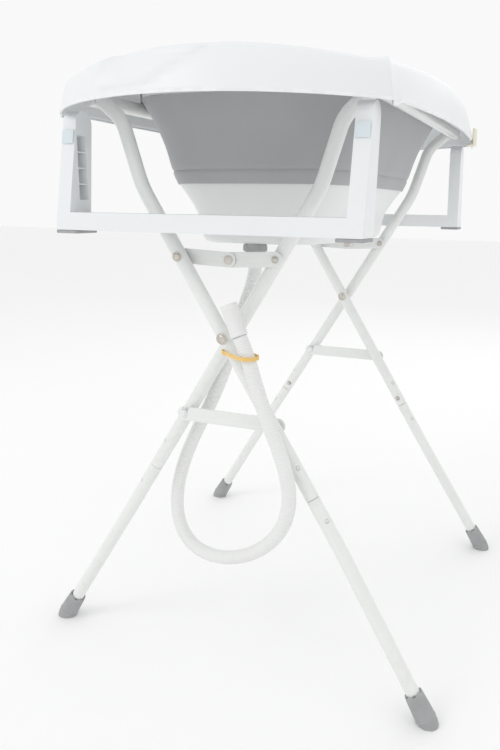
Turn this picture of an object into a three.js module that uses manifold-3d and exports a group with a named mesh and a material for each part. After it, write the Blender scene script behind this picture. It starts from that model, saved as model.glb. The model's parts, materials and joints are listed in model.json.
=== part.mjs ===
// Folding baby bath on a folding X-frame stand.
// Millimetres, +Z up. X runs across the bath, Y along its long side, and the origin is on the floor
// under the middle. The front is the -Y end, where the drain hose hangs.
import * as THREE from 'three';
import { mergeVertices } from 'three/addons/utils/BufferGeometryUtils.js';
import Module from 'manifold-3d';

const wasm = await Module();
wasm.setup();

// ---- driving dimensions ----
const gap = 0.3;                 // left between faces that touch
const tubeOd = 19;               // steel leg tube
const tubeBore = 16;
const crossY = 258;              // the two X frames stand at y = -crossY and +crossY
const legOffset = 13.6;          // each leg's distance from its X frame's middle plane
const crossZ = 492;              // height of the crossing bolts
const legSlope = 0.622;          // sideways run of a leg per unit of height
const kinkZ = 687;               // above this the legs stand steeper
const jointZ = 284;              // upper and lower leg tubes meet here
const buttonZ = 297;             // snap button above the tube joint
const splayZ = 221;              // below this the legs also splay along Y
const footX = 296;               // tube axis at the foot
const footZ = 14;
const footSplay = 13;
const railX = 194;               // top rails under the long sides of the bath
const railZ = 798;
const railOverhang = 9.3;        // the rails run on past the legs' axes to this length
const toggleZ = 597;             // upper pair of folding links
const strutZ = 375;              // lower strut
const linkThickness = 1.9;
const linkWidth = 20;
const strutThickness = 3;
const linkSag = 3;
const rivetHead = 5;
const rivetShaft = 2.6;
const boltHead = 6;
const boltShaft = 3.4;
const catchPin = 3.5;
const notchTilt = 0.45;          // the strut's notch leans inwards by this angle
const headHeight = 1.3;
const buttonRadius = 3.5;

const rimLower = { halfX: 246, halfY: 408, cornerX: 220, cornerY: 304, midZ: 780, cornerZ: 778 };
const rimShoulder = { halfX: 240, halfY: 394, cornerX: 217, cornerY: 298, midZ: 816, cornerZ: 806 };
const rimCrown = { halfX: 232, halfY: 374, cornerX: 212, cornerY: 286, midZ: 834, cornerZ: 820 };
const rimDeck = { halfX: 216, halfY: 348, cornerX: 202, cornerY: 270, midZ: 838, cornerZ: 826 };
const rimWall = 3;               // thickness of the moulded plastic
const openingX = 187;            // soft wall's outside at its top edge
const openingY = 230;
const wallTopZ = 808;
const seamZ = 693;               // soft wall meets the base pan
const seamX = 135;
const seamY = 208;
const panZ = 612;                // underside of the base pan
const panX = 98;
const panY = 196;
const softWall = 2.4;

const endFrameX = 206;           // outside of the end frames' posts
const postWidth = 20;
const endBarZ = 630;
const endBarHeight = 22;
const endBarOuterY = 345;
const endBarInnerY = 299;
const hingeY = 303.5;            // end frame's fold axis
const hingeZ = 763;
const hingeRadius = 16;
const padHeight = 4.2;
const saddleHalfX = 6;
const saddleHalfY = 150;
const saddleTopZ = 823;
const clip = { lowX: 226, highX: 240, lowY: 205, highY: 236, lowZ: 773, highZ: 800, lip: 3, sheet: 3.5 };
const channelY = 310;            // middle of the hollow in each post's inner side

const drainY = -176;
const spoutRadius = 13;
const hoseOd = 20;
const cuffOd = 23;
// The drain hose hangs from the bath, loops under the strut and is tied back to the front leg.
const hoseRoute = [
  [0, -176, 583.2], [-0.1, -176.9, 573], [-1.6, -182.9, 554.9], [-5.2, -196, 528.9], [-9.3, -208.6, 502.9],
  [-14.8, -218, 475.6], [-22.3, -222.7, 447.7], [-32.6, -223.3, 420.2], [-45.3, -221.3, 393.7],
  [-59.2, -218.3, 368.1], [-73.3, -215.5, 342.7], [-86.7, -213.7, 316.5], [-98.2, -213.5, 289.4],
  [-106.4, -215.3, 261.5], [-109.9, -219.3, 232.8], [-106.3, -226, 204.4], [-92.4, -235, 180.5],
  [-69.1, -244.9, 166.2], [-41.6, -254, 162], [-13.5, -261.9, 165.3], [13.5, -269, 174.1],
  [38.9, -275.3, 187.3], [61.9, -281, 204.6], [81.5, -286.2, 225.8], [96, -290.7, 250.6],
  [103.8, -294.5, 278.6], [103.7, -297.3, 307.9], [97.4, -298.9, 336.4], [87.4, -299.5, 363.9],
  [76, -299.3, 390.9], [64.7, -298.3, 418], [54.4, -296.9, 445.6], [44.7, -295.6, 473.2],
  [33, -295, 500],
];
const cuffEnd = [16, -293, 540];
const bandZ = 474;
const bandHose = [44.5, -295.5];     // hose axis at the band
const bandRadius = 13.2;

// ---- materials ----
const finish = (color, roughness, metalness = 0) =>
  new THREE.MeshStandardMaterial({ color, roughness, metalness });
const enamel = finish(0xf4f4ee, 0.25);
const whitePlastic = finish(0xf3f5f5, 0.38);
const softGrey = finish(0xa5a7a9, 0.6);
const panWhite = finish(0xeceded, 0.42);
const rubberGrey = finish(0x97999b, 0.75);
const nickel = finish(0xc9c6bf, 0.28, 1);
const hoseWhite = finish(0xeeeeea, 0.5);
const bandOrange = finish(0xe8ad42, 0.6);
const insertBlue = finish(0xb9cbd3, 0.4);
const clipCream = finish(0xe3dcae, 0.5);

// ---- solids ----
const toManifold = (geometry) => {
  const bare = geometry.clone();
  bare.deleteAttribute('normal');
  bare.deleteAttribute('uv');
  const merged = mergeVertices(bare, 1e-3);
  const vertProperties = Float32Array.from(merged.attributes.position.array);
  const triVerts = Uint32Array.from(merged.index.array);
  return new wasm.Manifold(new wasm.Mesh({ numProp: 3, vertProperties, triVerts }));
};

const toGeometry = (manifold) => {
  const { vertProperties, triVerts } = manifold.getMesh();
  const geometry = new THREE.BufferGeometry();
  geometry.setAttribute('position', new THREE.BufferAttribute(Float32Array.from(vertProperties), 3));
  geometry.setIndex(Array.from(triVerts));
  return geometry;
};

const cut = (geometry, ...tools) =>
  toGeometry(tools.reduce((solid, tool) => solid.subtract(toManifold(tool)), toManifold(geometry)));

const join = (geometry, ...others) =>
  toGeometry(others.reduce((solid, other) => solid.add(toManifold(other)), toManifold(geometry)));

const part = (name, geometry, material) => {
  const mesh = new THREE.Mesh(geometry, material);
  mesh.name = name;
  return mesh;
};

const box = (lowX, lowY, lowZ, highX, highY, highZ) =>
  new THREE.BoxGeometry(highX - lowX, highY - lowY, highZ - lowZ)
    .translate((lowX + highX) / 2, (lowY + highY) / 2, (lowZ + highZ) / 2);

// A cylinder from lowY to highY, along Y.
const crossPin = (radius, x, lowY, highY, z, sides = 16) =>
  new THREE.CylinderGeometry(radius, radius, highY - lowY, sides).translate(x, (lowY + highY) / 2, z);

const ringOfPoints = (radius, sides, clockwise = false) =>
  Array.from({ length: sides }, (_, i) => {
    const angle = ((clockwise ? -i : i) * 2 * Math.PI) / sides;
    return new THREE.Vector2(radius * Math.cos(angle), radius * Math.sin(angle));
  });

// A path through points whose corners are rounded by the given reach.
const roundedPath = (points, reach) => {
  const path = new THREE.CurvePath();
  let from = points[0];
  for (let i = 1; i < points.length - 1; i += 1) {
    const corner = points[i];
    const inward = corner.clone().lerp(points[i - 1], reach / corner.distanceTo(points[i - 1]));
    const outward = corner.clone().lerp(points[i + 1], reach / corner.distanceTo(points[i + 1]));
    path.add(new THREE.LineCurve3(from, inward));
    path.add(new THREE.QuadraticBezierCurve3(inward, corner, outward));
    from = outward;
  }
  path.add(new THREE.LineCurve3(from, points[points.length - 1]));
  return path;
};

const tube = (path, steps, od = tubeOd, bore = tubeBore, sides = 12) => {
  const section = new THREE.Shape(ringOfPoints(od / 2, sides));
  if (bore > 0) section.holes.push(new THREE.Path(ringOfPoints(bore / 2, 8, true)));
  return new THREE.ExtrudeGeometry(section, { steps, extrudePath: path, bevelEnabled: false });
};

// A turned solid about the vertical through the origin, from [radius, height] pairs, lowest first.
const turned = (pairs, sides) =>
  new THREE.LatheGeometry(pairs.map(([radius, height]) => new THREE.Vector2(radius, height)), sides)
    .rotateX(Math.PI / 2);

// A closed skin through rings of points; the last ring joins the first, so it encloses a loop of wall.
const loopSkin = (rings) => {
  const count = rings[0].length;
  const geometry = new THREE.BufferGeometry();
  geometry.setFromPoints(rings.flat());
  const index = [];
  rings.forEach((_, r) => {
    const next = (r + 1) % rings.length;
    for (let i = 0; i < count; i += 1) {
      const j = (i + 1) % count;
      index.push(r * count + i, r * count + j, next * count + j);
      index.push(r * count + i, next * count + j, next * count + i);
    }
  });
  geometry.setIndex(index);
  return geometry;
};

// A closed skin through rings whose first and last rings close on their own centre points.
const cupSkin = (rings) => {
  const count = rings[0].length;
  const middle = (ring) => ring.reduce((sum, p) => sum.add(p), new THREE.Vector3()).divideScalar(count);
  const geometry = new THREE.BufferGeometry();
  geometry.setFromPoints([...rings.flat(), middle(rings[0]), middle(rings[rings.length - 1])]);
  const index = [];
  const first = rings.length * count;
  const last = first + 1;
  for (let i = 0; i < count; i += 1) {
    const j = (i + 1) % count;
    index.push(first, j, i);
    for (let r = 0; r < rings.length - 1; r += 1) {
      index.push(r * count + i, r * count + j, (r + 1) * count + j);
      index.push(r * count + i, (r + 1) * count + j, (r + 1) * count + i);
    }
    index.push((rings.length - 1) * count + i, (rings.length - 1) * count + j, last);
  }
  geometry.setIndex(index);
  return geometry;
};

// ---- outlines ----
// Height and place along an arc from one corner to the next, t = 0..1, bulging by sag.
const arcPoint = (start, end, bulge, z0, zMid, t) => {
  const chord = end.clone().sub(start);
  const half = chord.length() / 2;
  const sag = bulge.length();
  const radius = (half * half + sag * sag) / (2 * sag);
  const along = (2 * t - 1) * half;
  const rise = Math.sqrt(radius * radius - along * along) - (radius - sag);
  const point = start.clone().lerp(end, t).addScaledVector(bulge.clone().normalize(), rise);
  return new THREE.Vector3(point.x, point.y, z0 + (zMid - z0) * Math.sin(Math.PI * t));
};

// Four arcs that meet at the rim's corners, counter-clockwise from the front left corner.
const barrel = ({ halfX, halfY, cornerX, cornerY, midZ, cornerZ }, inset = 0, drop = 0) => {
  const cx = cornerX - inset;
  const cy = cornerY - inset;
  const corners = [[-cx, -cy], [cx, -cy], [cx, cy], [-cx, cy]].map(([x, y]) => new THREE.Vector2(x, y));
  const endSag = halfY - cornerY;
  const sideSag = halfX - cornerX;
  const bulges = [[0, -endSag], [sideSag, 0], [0, endSag], [-sideSag, 0]];
  const perArc = [12, 6, 12, 6];
  return corners.flatMap((start, k) =>
    Array.from({ length: perArc[k] }, (_, i) =>
      arcPoint(start, corners[(k + 1) % 4], new THREE.Vector2(...bulges[k]),
        cornerZ - drop, midZ - drop, i / perArc[k])));
};

// A rounded rectangle sampled so that its points line up with those of barrel().
const roundedRing = (halfX, halfY, z, power = 5) =>
  barrel(rimLower).map((p) => {
    const angle = Math.atan2(p.y / rimLower.halfY, p.x / rimLower.halfX);
    const cos = Math.cos(angle);
    const sin = Math.sin(angle);
    const reach = (Math.abs(cos) ** power + Math.abs(sin) ** power) ** (-1 / power);
    return new THREE.Vector3(halfX * reach * cos, halfY * reach * sin, z);
  });

// ---- stand ----
// Leg 1 of an X frame has its foot on side +1, leg 2 on side -1. The X frame's end is -1 or +1 along Y.
const legX = (z) => legSlope * (crossZ - z);
const at = (x, y, z) => new THREE.Vector3(x, y, z);

const upperPath = (side, y) => roundedPath([
  at(side * legX(jointZ + gap), y, jointZ + gap),
  at(side * legX(kinkZ), y, kinkZ),
  at(-side * 149, y, 772),
  at(-side * (railX - 11.8), y, railZ - 1),
], 16);

const lowerPath = (side, y, end) => roundedPath([
  at(side * legX(jointZ), y, jointZ),
  at(side * legX(splayZ), y, splayZ),
  at(side * footX, y + end * footSplay, footZ),
], 20);

const buttonHole = (side, y, inward) => crossPin(buttonRadius + gap, side * legX(buttonZ),
  Math.min(y, y + inward * tubeOd), Math.max(y, y + inward * tubeOd), buttonZ, 14);

const upperLeg = (side, y, inward, holes) =>
  cut(tube(upperPath(side, y), 16), buttonHole(side, y, inward), ...holes);

// The lower tube is swaged at its top and slides up inside the upper tube.
const lowerLeg = (side, y, end, inward) => {
  const axis = at(side * legSlope, 0, -1).normalize();
  const mouth = at(side * legX(jointZ), y, jointZ);
  const along = (from, to) =>
    new THREE.LineCurve3(mouth.clone().addScaledVector(axis, from), mouth.clone().addScaledVector(axis, to));
  const neckOd = tubeBore - 1.2;
  const neckBore = neckOd - 3;
  const body = cut(tube(lowerPath(side, y, end), 8), tube(along(-2, 6), 1, neckBore + 1, 0));
  return cut(join(body, tube(along(6, -26), 1, neckOd, neckBore), tube(along(6, 0.5), 1, tubeOd - 1, neckBore)),
    buttonHole(side, y, inward));
};

// Rubber cap over the foot of a leg, its sole level with the floor.
const footCap = (side, y, end) => {
  const foot = at(side * footX, y + end * footSplay, footZ);
  const up = at(side * legX(splayZ), y, splayZ).sub(foot).normalize();
  const socket = tubeOd / 2 + gap;
  const profile = [
    [0, -24], [10, -24], [14, -16], [14, -4], [12.6, 28], [socket, 29], [socket, -gap], [0, -gap],
  ].map(([radius, height]) => new THREE.Vector2(radius, height));
  const cap = new THREE.LatheGeometry(profile, 14);
  cap.applyQuaternion(new THREE.Quaternion().setFromUnitVectors(at(0, 1, 0), up));
  cap.translate(foot.x, foot.y, foot.z);
  return cut(cap, box(foot.x - 60, foot.y - 60, -60, foot.x + 60, foot.y + 60, 0));
};

const snapButton = (side, y, inward) => {
  const face = y + inward * (tubeOd / 2 + 2.2);
  const root = y + inward * (tubeOd / 2 - 6);
  return crossPin(buttonRadius, side * legX(buttonZ), Math.min(face, root), Math.max(face, root), buttonZ, 14);
};

// A pin along Y with domed heads; each head is a face's y and the way the dome points.
const rivet = (x, z, lowY, highY, heads, head = rivetHead, shaft = rivetShaft) => {
  const dome = ([faceY, outward]) => {
    const profile = [[0, -0.1], [head, -0.1], [head, 0.3], [0.62 * head, 0.85], [0, 1]]
      .map(([radius, height]) => new THREE.Vector2(radius, height * headHeight));
    const solid = new THREE.LatheGeometry(profile, 12);
    if (outward < 0) solid.rotateX(Math.PI);
    return solid.translate(x, faceY + outward * 0.1 * headHeight, z);
  };
  return join(crossPin(shaft, x, lowY, highY, z, 12), ...heads.map(dome));
};

// Flat bar with round ends from one point of an X frame to another, its front face at y.
const flatLink = (x0, z0, x1, z1, y, thickness, holes) => {
  const length = Math.hypot(x1 - x0, z1 - z0);
  const radius = linkWidth / 2;
  const shape = new THREE.Shape();
  shape.absarc(0, 0, radius, Math.PI / 2, 1.5 * Math.PI, false);
  shape.absarc(length, 0, radius, -Math.PI / 2, Math.PI / 2, false);
  const bar = new THREE.ExtrudeGeometry(shape, { depth: thickness, bevelEnabled: false, curveSegments: 7 });
  bar.rotateX(Math.PI / 2);
  bar.rotateY(-Math.atan2(z1 - z0, x1 - x0));
  bar.translate(x0, y + thickness, z0);
  return cut(bar, ...holes);
};

// One X frame: leg 1 stands in front with its foot at +X, leg 2 behind it with its foot at -X.
const crossFrame = (midY, end, [name1, name2], tag) => {
  const y1 = midY - legOffset;
  const y2 = midY + legOffset;
  const half = tubeOd / 2;
  const inward = -end;
  const backOf1 = y1 + half;
  const frontOf2 = y2 - half;
  const leftLinkY = backOf1 + 2 * gap + headHeight;
  const rightLinkY = frontOf2 - 2 * gap - headHeight - linkThickness;
  const strutY = (backOf1 + frontOf2 - strutThickness) / 2;
  const toggleX = -legX(toggleZ);
  const strutX = legX(strutZ);
  const midZ = toggleZ - linkSag;
  const rivetHole = (x, y, z) => crossPin(rivetShaft + gap, x, y - tubeOd, y + tubeOd, z, 12);
  const rearHole = (x, y, z) => crossPin(rivetShaft + gap, x, y, y + tubeOd, z, 12);
  const frontHole = (x, y, z, radius) => crossPin(radius + gap, x, y - tubeOd, y, z, 12);
  const boltHole = (y) => crossPin(boltShaft + gap, 0, y - tubeOd, y + tubeOd, crossZ, 16);

  const leg1Holes = [boltHole(y1), rivetHole(-toggleX, y1, toggleZ), rearHole(strutX, y1, strutZ)];
  const leg2Holes = [
    boltHole(y2), frontHole(toggleX, y2, toggleZ, rivetShaft), frontHole(-strutX, y2, strutZ, catchPin),
  ];

  // The catch pin leaves the strut upwards and inwards, so the strut's notch opens that way.
  const notchHalf = catchPin + 1;
  const notch = box(-notchHalf, strutY - 5, 0, notchHalf, strutY + 8, 3 * linkWidth)
    .rotateY(notchTilt).translate(-strutX, 0, strutZ);
  const strutBar = cut(
    flatLink(-strutX, strutZ, strutX, strutZ, strutY, strutThickness, [rivetHole(strutX, strutY, strutZ)]),
    notch, crossPin(catchPin + gap, -strutX, strutY - 5, strutY + 8, strutZ, 14));

  const headFront = (y) => [y - gap, -1];
  const headRear = (y) => [y + gap, 1];
  return [
    part(`leg_${name1}_upper`, upperLeg(1, y1, inward, leg1Holes), enamel),
    part(`leg_${name2}_upper`, upperLeg(-1, y2, inward, leg2Holes), enamel),
    part(`leg_${name1}_lower`, lowerLeg(1, y1, end, inward), enamel),
    part(`leg_${name2}_lower`, lowerLeg(-1, y2, end, inward), enamel),
    part(`foot_cap_${name1}`, footCap(1, y1, end), rubberGrey),
    part(`foot_cap_${name2}`, footCap(-1, y2, end), rubberGrey),
    part(`snap_button_${name1}`, snapButton(1, y1, inward), nickel),
    part(`snap_button_${name2}`, snapButton(-1, y2, inward), nickel),
    part(`cross_bolt_${tag}`, rivet(0, crossZ, y1 - half - gap, y2 + half + gap,
      [headFront(y1 - half), headRear(y2 + half)], boltHead, boltShaft), nickel),
    part(`link_${tag}_left`, flatLink(-toggleX, toggleZ, 0, midZ, leftLinkY, linkThickness,
      [rivetHole(-toggleX, leftLinkY, toggleZ), rivetHole(0, leftLinkY, midZ)]), enamel),
    part(`link_${tag}_right`, flatLink(0, midZ, toggleX, toggleZ, rightLinkY, linkThickness,
      [rivetHole(0, rightLinkY, midZ), rivetHole(toggleX, rightLinkY, toggleZ)]), enamel),
    part(`link_rivet_${name1}`, rivet(-toggleX, toggleZ, y1 - half - gap, leftLinkY + linkThickness,
      [headFront(y1 - half)]), nickel),
    part(`link_rivet_${name2}`, rivet(toggleX, toggleZ, rightLinkY - gap, y2,
      [headFront(rightLinkY)]), nickel),
    part(`middle_rivet_${tag}_front`, rivet(0, midZ, leftLinkY - gap, leftLinkY + linkThickness,
      [headFront(leftLinkY)]), nickel),
    part(`middle_rivet_${tag}_back`, rivet(0, midZ, rightLinkY, rightLinkY + linkThickness + gap,
      [headRear(rightLinkY + linkThickness)]), nickel),
    part(`strut_${tag}`, strutBar, enamel),
    part(`strut_rivet_${name1}`, rivet(strutX, strutZ, y1, strutY + strutThickness + gap,
      [headRear(strutY + strutThickness)]), nickel),
    part(`catch_pin_${name2}`, rivet(-strutX, strutZ, strutY - gap, y2,
      [headFront(strutY)], rivetHead, catchPin), whitePlastic),
  ];
};

// Welded to the tops of one leg of each X frame; the bath rests on it.
const topRail = (x, lowY, highY) => tube(
  new THREE.LineCurve3(at(x, lowY - railOverhang, railZ), at(x, highY + railOverhang, railZ)), 1);

// ---- bath ----
// Outer skirt, crown, deck and the lip that carries the soft wall, as one moulded shell.
const rimShell = () => {
  const lip = (inset, z) => roundedRing(openingX - inset, openingY - inset, z);
  return loopSkin([
    barrel(rimLower), barrel(rimShoulder), barrel(rimCrown), barrel(rimDeck),
    lip(0, 832), lip(rimWall, 829), lip(rimWall, wallTopZ + gap), lip(0, wallTopZ + gap), lip(-0.6, 826),
    barrel(rimDeck, rimWall, rimWall + 1), barrel(rimCrown, rimWall, rimWall),
    barrel(rimShoulder, rimWall), barrel(rimLower, rimWall),
  ]);
};

// Soft wall between the rim and the base pan; it crumples when the pan is pushed up.
const softWallShell = () => {
  const ring = (share, inset) => roundedRing(
    THREE.MathUtils.lerp(seamX, openingX, share) - inset,
    THREE.MathUtils.lerp(seamY, openingY, share) - inset,
    THREE.MathUtils.lerp(seamZ + gap, wallTopZ, share));
  const shares = [0, 0.5, 1];
  return loopSkin([
    ...shares.map((share) => ring(share, 0)),
    ...shares.toReversed().map((share) => ring(share, softWall)),
  ]);
};

const basePan = () => {
  const shell = cupSkin([
    roundedRing(panX - 12, panY - 8, panZ),
    roundedRing(panX, panY - 1, panZ + 6),
    roundedRing(panX + 8, panY + 3, panZ + 40),
    roundedRing(seamX, seamY, seamZ),
    roundedRing(seamX - rimWall, seamY - rimWall, seamZ),
    roundedRing(panX + 8 - rimWall, panY + 3 - rimWall, panZ + 40),
    roundedRing(panX - rimWall, panY - 1 - rimWall, panZ + 8),
    roundedRing(panX - 14, panY - 10, panZ + rimWall),
  ]);
  const spout = turned([[0, -9], [spoutRadius, -9], [spoutRadius, 1], [0, 1]], 18).translate(0, drainY, panZ);
  const bore = turned([[0, -12], [9, -12], [9, 9], [0, 9]], 18).translate(0, drainY, panZ);
  return cut(join(shell, spout), bore);
};

// Plug that closes the drain from inside the pan.
const drainPlug = () =>
  turned([[0, -6], [7.6, -6], [8.4, 3.6], [10, 3.8], [10, 7], [3.5, 8], [3.5, 16], [0, 16]], 16)
    .translate(0, drainY, panZ);

// U-shaped end frame: two posts that taper upwards and the bar that the bath stands on without its stand.
const endFrame = (end) => {
  const profile = new THREE.Shape();
  profile.moveTo(endBarOuterY, endBarZ);
  profile.lineTo(hingeY + hingeRadius, hingeZ);
  profile.absarc(hingeY, hingeZ, hingeRadius, 0, Math.PI, false);
  profile.lineTo(endBarInnerY, endBarZ);
  profile.closePath();
  const block = new THREE.ExtrudeGeometry(profile,
    { depth: 2 * endFrameX, bevelEnabled: false, curveSegments: 12 });
  block.applyMatrix4(new THREE.Matrix4().makeBasis(at(0, 1, 0), at(0, 0, 1), at(1, 0, 0)));
  block.translate(-endFrameX, 0, 0);
  const inner = endFrameX - postWidth;
  const window = box(-inner, hingeY - 100, endBarZ + endBarHeight, inner, hingeY + 100, hingeZ + 100);
  const channelWall = 2.6;
  const channel = [channelY - 9, endBarZ + endBarHeight + 16, channelY + 9, hingeZ - 15];
  const channels = [-1, 1].map((side) => {
    const faces = [side * (inner - 9), side * (endFrameX - channelWall)];
    return box(Math.min(...faces), channel[0], channel[1], Math.max(...faces), channel[2], channel[3]);
  });
  const frame = cut(block, window, ...channels);
  return end < 0 ? frame.rotateZ(Math.PI) : frame;
};

// Pale insert on the outer face of a post, just below its hinge.
const postLatch = (side, end) => {
  const lean = Math.atan2(endBarOuterY - hingeY - hingeRadius, hingeZ - endBarZ);
  const height = 17;
  const thickness = 2;
  return new THREE.BoxGeometry(postWidth - 3, thickness, height).translate(0, thickness / 2 + gap, 0)
    .rotateX(lean).translate(0, hingeY + hingeRadius + height * Math.tan(lean), hingeZ - height)
    .rotateZ(end < 0 ? Math.PI : 0).translate(side * (endFrameX - postWidth / 2), 0, 0);
};

// Rubber pad under each corner of an end frame.
const barPad = (side, end) => {
  const xs = [side * (endFrameX + 0.5), side * (endFrameX - 32)];
  const ys = [end * (endBarInnerY + 3), end * (endBarOuterY - 1)];
  const top = endBarZ - gap;
  return box(Math.min(...xs), Math.min(...ys), top - padHeight, Math.max(...xs), Math.max(...ys), top);
};

// Rubber strip under the rim, resting on a top rail.
const railSaddle = (side) => box(side * railX - saddleHalfX, -saddleHalfY, railZ + tubeOd / 2 + gap,
  side * railX + saddleHalfX, saddleHalfY, saddleTopZ);

// L-shaped clip that hooks under the right-hand skirt near the rear corner.
const rimClip = () => {
  const { lowX, highX, lowY, highY, lowZ, highZ, lip, sheet } = clip;
  return join(box(highX - sheet, lowY, lowZ + 1, highX, highY, highZ),
    box(lowX, lowY, lowZ - 1, highX, highY, lowZ - 1 + lip));
};

// ---- drain hose ----
const hose = () => tube(
  new THREE.CatmullRomCurve3(hoseRoute.map(([x, y, z]) => at(x, y, z))), 46, hoseOd, 0, 8);

// Socket that pushes up over the pan's spout and carries the hose below it.
const hoseCoupling = () => cut(
  turned([[0, -27.6], [12, -27.6], [15.5, -25], [15.5, -12], [17, -10], [17, -1], [0, -1]], 18),
  turned([[0, -10], [spoutRadius + gap, -10], [spoutRadius + gap, 3], [0, 3]], 18),
).translate(0, drainY, panZ);

const hoseCuff = () => {
  const last = at(...hoseRoute[hoseRoute.length - 1]);
  const tip = at(...cuffEnd);
  const axis = tip.clone().sub(last).normalize();
  const run = (from, to) => new THREE.LineCurve3(
    last.clone().addScaledVector(axis, from), last.clone().addScaledVector(axis, to));
  const length = tip.distanceTo(last);
  return cut(tube(run(gap, length), 1, cuffOd, 0, 16), tube(run(8, length + 5), 1, cuffOd - 5, 0, 16));
};

// Elastic band round the front leg and the end of the hose.
const hoseBand = () => {
  const leg = new THREE.Vector2(legX(bandZ), -crossY - legOffset);
  const hoseAxis = new THREE.Vector2(...bandHose);
  const reach = leg.distanceTo(hoseAxis);
  const outline = (radius) => {
    const loop = new THREE.Shape();
    loop.absarc(0, 0, radius, -Math.PI / 2, Math.PI / 2, false);
    loop.absarc(-reach, 0, radius, Math.PI / 2, 1.5 * Math.PI, false);
    return loop;
  };
  const extrude = (radius, depth) =>
    new THREE.ExtrudeGeometry(outline(radius), { depth, bevelEnabled: false, curveSegments: 9 });
  return cut(extrude(bandRadius + 1.6, 5), extrude(bandRadius, 7).translate(0, 0, -1))
    .rotateZ(Math.atan2(hoseAxis.y - leg.y, hoseAxis.x - leg.x)).translate(hoseAxis.x, hoseAxis.y, bandZ - 2.5);
};

// ---- assembly ----
const table = new THREE.Group();
table.add(...crossFrame(-crossY, -1, ['a', 'b'], 'front'));
table.add(...crossFrame(crossY, 1, ['c', 'd'], 'rear'));
table.add(part('top_rail_1', topRail(-railX, -crossY - legOffset, crossY - legOffset), enamel));
table.add(part('top_rail_2', topRail(railX, -crossY + legOffset, crossY + legOffset), enamel));
table.add(part('bath_rim', rimShell(), whitePlastic));
table.add(part('soft_wall', softWallShell(), softGrey));
table.add(part('base_pan', basePan(), panWhite));
table.add(part('drain_plug', drainPlug(), softGrey));
[['front', -1], ['rear', 1]].forEach(([tag, end]) => {
  table.add(part(`end_frame_${tag}`, endFrame(end), whitePlastic));
  [['left', -1], ['right', 1]].forEach(([hand, side]) => {
    table.add(part(`post_latch_${tag}_${hand}`, postLatch(side, end), insertBlue));
    table.add(part(`bar_pad_${tag}_${hand}`, barPad(side, end), rubberGrey));
  });
});
table.add(part('rail_saddle_left', railSaddle(-1), rubberGrey));
table.add(part('rail_saddle_right', railSaddle(1), rubberGrey));
table.add(part('rim_clip', rimClip(), clipCream));
table.add(part('hose_coupling', hoseCoupling(), rubberGrey));
table.add(part('drain_hose', hose(), hoseWhite));
table.add(part('hose_cuff', hoseCuff(), hoseWhite));
table.add(part('hose_band', hoseBand(), bandOrange));

export default table;
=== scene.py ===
# Folding baby bath with a soft collapsible wall, on a folding X-frame stand. Metres, Z up.
import json
import math
import bmesh
import bpy
from mathutils import Matrix, Vector


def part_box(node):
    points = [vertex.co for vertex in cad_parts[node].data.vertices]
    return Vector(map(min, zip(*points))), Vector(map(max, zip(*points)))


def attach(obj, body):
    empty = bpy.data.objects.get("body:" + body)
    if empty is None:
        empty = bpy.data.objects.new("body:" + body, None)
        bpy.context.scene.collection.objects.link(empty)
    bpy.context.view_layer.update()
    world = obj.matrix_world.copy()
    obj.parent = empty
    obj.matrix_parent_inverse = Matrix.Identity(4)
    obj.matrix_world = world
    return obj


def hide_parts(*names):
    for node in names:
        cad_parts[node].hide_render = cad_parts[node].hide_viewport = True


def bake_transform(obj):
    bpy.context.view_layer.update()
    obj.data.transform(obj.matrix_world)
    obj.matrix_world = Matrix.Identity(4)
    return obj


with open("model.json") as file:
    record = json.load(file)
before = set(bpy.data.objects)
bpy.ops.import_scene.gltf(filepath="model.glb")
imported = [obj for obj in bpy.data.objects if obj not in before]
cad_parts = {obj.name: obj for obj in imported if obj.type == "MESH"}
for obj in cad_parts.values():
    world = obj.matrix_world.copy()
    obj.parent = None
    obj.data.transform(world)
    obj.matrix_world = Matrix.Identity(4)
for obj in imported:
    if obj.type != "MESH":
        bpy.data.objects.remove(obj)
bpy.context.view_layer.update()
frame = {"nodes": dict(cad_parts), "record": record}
slotOf = {entry["node"]: entry["material_slot"] for entry in frame["record"]["subparts"]}
bodyOf = {node: body for body, nodes in frame["record"]["behaviour"]["bodies"].items() for node in nodes}
print("frame loaded")


# camera
viewer = {"place": (0.427, -1.1046, 0.6632), "yaw": 0.3727, "pitch": -0.2325, "roll": 0.016,
          "lens": 34.07, "shiftX": -0.0603}


def addCamera():
    yaw, pitch, roll = viewer["yaw"], viewer["pitch"], viewer["roll"]
    ahead = Vector((-math.sin(yaw) * math.cos(pitch), math.cos(yaw) * math.cos(pitch), math.sin(pitch)))
    level = Vector((math.cos(yaw), math.sin(yaw), 0))
    above = level.cross(ahead)
    right = math.cos(roll) * level + math.sin(roll) * above
    up = math.cos(roll) * above - math.sin(roll) * level
    bpy.ops.object.camera_add()
    camera = bpy.context.object
    turned = Matrix((right, up, -ahead)).transposed().to_4x4()
    camera.matrix_world = Matrix.Translation(viewer["place"]) @ turned
    camera.data.lens = viewer["lens"]
    camera.data.sensor_width = 36
    camera.data.shift_x = viewer["shiftX"]
    camera.data.clip_start = 0.02
    bpy.context.scene.camera = camera


addCamera()


# floor and light
studio = {"floorSize": 30, "floorColour": (0.94, 0.94, 0.94, 1),
          "skyColour": (1, 1, 1, 1), "skyStrength": 0.95}
lamps = [
    {"name": "keyLamp", "place": (-1.6, -2.2, 2.6), "aim": (0, 0, 0.5), "size": 1.4, "watts": 15},
    {"name": "sideLamp", "place": (2.4, -0.8, 1.6), "aim": (0, 0, 0.5), "size": 1.6, "watts": 2},
    {"name": "backLamp", "place": (0.4, 2.4, 2.2), "aim": (0, 0, 0.6), "size": 1.8, "watts": 7},
]


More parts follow.
